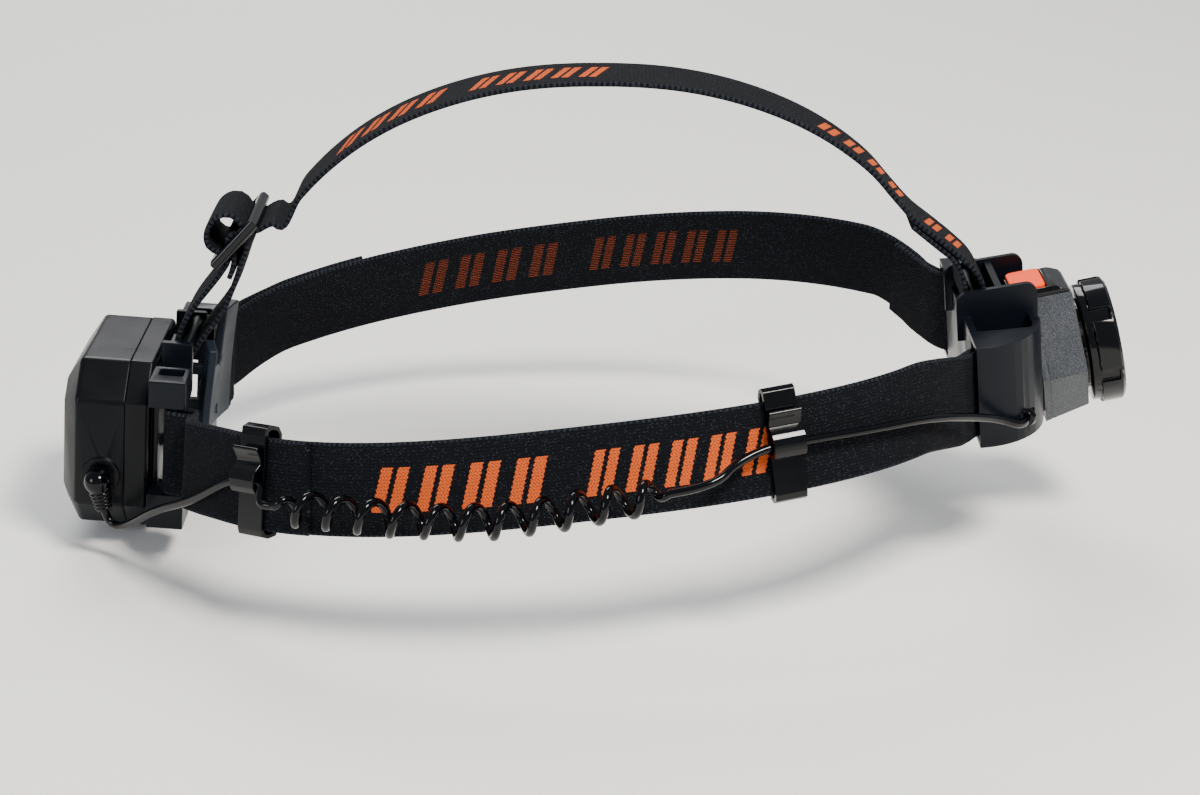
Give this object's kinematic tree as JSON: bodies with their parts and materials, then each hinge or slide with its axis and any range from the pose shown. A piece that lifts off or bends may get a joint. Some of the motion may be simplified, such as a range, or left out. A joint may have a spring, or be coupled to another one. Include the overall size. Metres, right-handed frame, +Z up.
{
  "type": "cap lamp",
  "caption": "Miner's cap lamp: zoom lamp on a tilting bracket, rear battery box, elastic head and top straps, cable clips and a curly cable.",
  "frame": {"origin": "middle of the head strap's loop in plan, near the height of the side straps, where the crown of a hard hat or a head sits", "axes": "+X forward, the way the wearer looks and the lamp shines; +Y to the wearer's left; +Z up"},
  "size_m": [0.3147, 0.2195, 0.1325],
  "materials": {
    "graphite": "satin graphite with fine metallic flecks",
    "gloss_black": "glossy black",
    "orange_button": "satin orange",
    "switch_black": "satin black",
    "circuit_board": "green solder mask",
    "heat_sink": "machined",
    "led_board": "white solder mask on aluminium",
    "led_yellow": "yellow phosphor under clear silicone",
    "seal_rubber": "black rubber",
    "lens": "clear acrylic",
    "bracket_black": "satin blue-black",
    "pin_steel": "plain steel",
    "screw_steel": "black oxide steel",
    "case_black": "satin black",
    "cell_wrap": "blue shrink wrap",
    "contact_nickel": "nickel plated spring steel",
    "cable_rubber": "glossy black PVC",
    "cradle_grey": "satin slate grey",
    "strap_webbing": "near-black elastic webbing with woven orange bars"
  },
  "bodies": {
    "harness": {"lamp_bracket": "bracket_black", "hinge_pin": "pin_steel", "battery_case": "case_black", "battery_base": "case_black", "case_screws": "screw_steel", "case_seal": "seal_rubber", "battery_cell_upper": "cell_wrap", "battery_cell_lower": "cell_wrap", "contact_plates": "contact_nickel", "contact_springs": "contact_nickel", "charge_board": "circuit_board", "charge_socket": "switch_black", "strain_relief": "cable_rubber", "rear_bracket": "bracket_black", "bracket_screws": "screw_steel", "rear_cradle": "cradle_grey", "head_strap_right": "strap_webbing", "head_strap_left": "strap_webbing", "top_strap": "strap_webbing", "slider_buckle": "gloss_black", "cable_clip_front": "gloss_black", "cable_clip_rear": "gloss_black", "cable_grommet": "cable_rubber", "cable_lead_front": "cable_rubber", "cable_coil": "cable_rubber", "cable_lead_rear": "cable_rubber"},
    "lamp": {"lamp_body": "graphite", "lamp_rear_cover": "graphite", "cover_screws": "screw_steel", "top_cap": "gloss_black", "switch_board": "circuit_board", "tact_switch": "switch_black", "heat_sink": "heat_sink", "driver_board": "circuit_board", "led_board": "led_board", "led_emitter": "led_yellow"},
    "zoom": {"zoom_bezel": "gloss_black", "lens": "lens", "lens_ring": "gloss_black", "sleeve_o_ring": "seal_rubber"},
    "button": {"switch_button": "orange_button"}
  },
  "joints": [
    {"name": "lamp_tilt", "type": "hinge", "parent": "harness", "child": "lamp", "pos_m": [0.13193, 0, -0.00364], "axis": [0, 1, 0], "range_deg": [0, 55]},
    {"name": "zoom_focus", "type": "slide", "parent": "lamp", "child": "zoom", "axis": [0.9781, 0, 0.2079], "range_m": [0, 0.006]},
    {"name": "switch_press", "type": "slide", "parent": "lamp", "child": "button", "axis": [0.2079, 0, -0.9781], "range_m": [0, 0.001], "stiffness_N_per_m": 1000, "springref_m": -0.0005}
  ]
}
